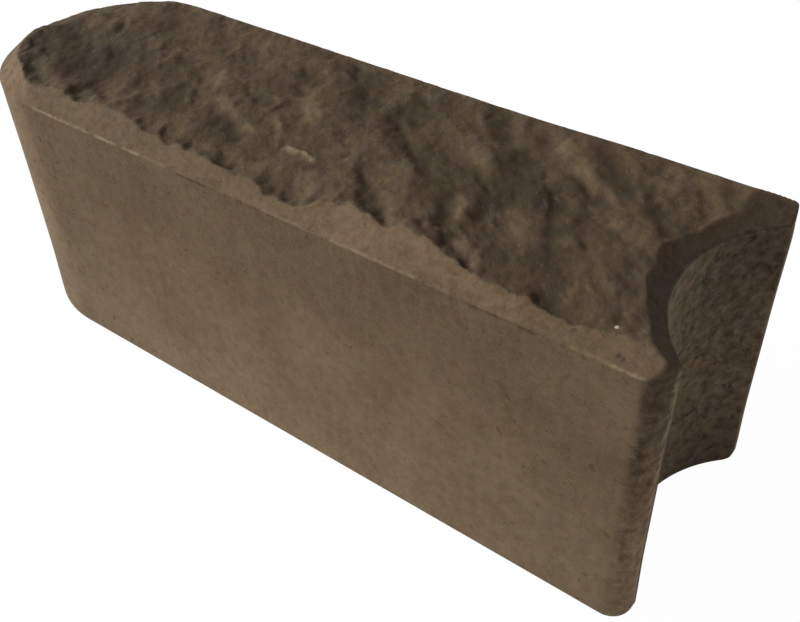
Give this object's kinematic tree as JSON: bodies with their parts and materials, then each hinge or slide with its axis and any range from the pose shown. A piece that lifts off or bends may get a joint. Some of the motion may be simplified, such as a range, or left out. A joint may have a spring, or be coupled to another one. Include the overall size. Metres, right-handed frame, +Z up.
{
  "type": "concrete edging stone",
  "caption": "Pressed concrete edging stone with a half-round end, a matching hollow end, a sloping band above the arris and a rough split top.",
  "frame": {"origin": "centre of the bounding box in plan, on the flat bed face that the stone stands on", "axes": "+X along the length, from the half-round end to the hollow end; +Y across the width; +Z up"},
  "size_m": [0.32, 0.1, 0.1195],
  "materials": {
    "concrete": "dark brown pressed concrete, matt, smooth on the moulded faces and rough on the split top"
  },
  "bodies": {
    "root": {"edging_stone": "concrete"}
  },
  "joints": []
}
